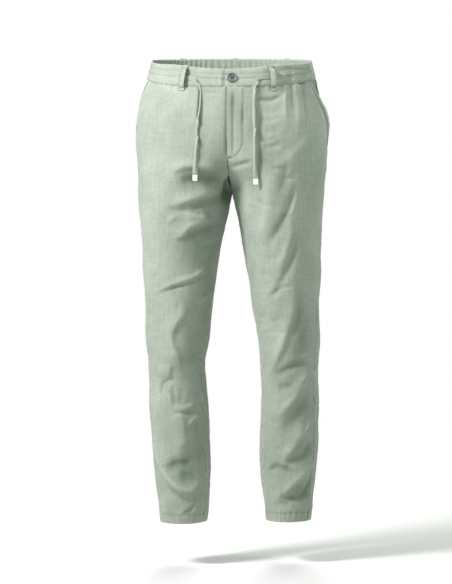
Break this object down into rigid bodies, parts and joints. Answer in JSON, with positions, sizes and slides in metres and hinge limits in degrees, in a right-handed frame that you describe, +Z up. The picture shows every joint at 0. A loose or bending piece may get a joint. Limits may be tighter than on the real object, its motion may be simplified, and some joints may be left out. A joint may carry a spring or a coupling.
{
  "type": "linen drawstring trousers",
  "caption": "Slim straight trousers in washed linen, worn pose: buttoned front waistband, elastic back, slanting side pockets, belt loops, flat drawcords.",
  "frame": {"origin": "the middle of the waist opening, where the wearer's waist holds the garment", "axes": "+Z up along the body, -Y forward through the fly, +X towards the wearer's left"},
  "size_m": [0.4085, 0.2761, 0.9822],
  "materials": {
    "washed_linen": "washed plain-weave linen, pale sage",
    "waistband_linen": "the same linen, folded double",
    "pocket_linen": "the same linen, one layer inside",
    "horn_button": "grey-green horn-look resin, satin",
    "cotton_tape": "flat woven cotton tape, pale sage",
    "tip_white": "white moulded tape end"
  },
  "bodies": {
    "root": {"front_right": "washed_linen", "front_left": "washed_linen", "back_right": "washed_linen", "back_left": "washed_linen", "pocket_right": "pocket_linen", "pocket_left": "pocket_linen", "waistband_front_right": "waistband_linen", "waistband_front_left": "waistband_linen", "waistband_back": "waistband_linen", "fly_facing": "pocket_linen", "belt_loop_front_right": "waistband_linen", "belt_loop_front_left": "waistband_linen", "belt_loop_back_right": "waistband_linen", "belt_loop_back_left": "waistband_linen", "belt_loop_back_centre": "waistband_linen", "button": "horn_button", "drawcord_right": "cotton_tape", "drawcord_left": "cotton_tape", "cord_tip_right": "tip_white", "cord_tip_left": "tip_white"}
  },
  "joints": []
}
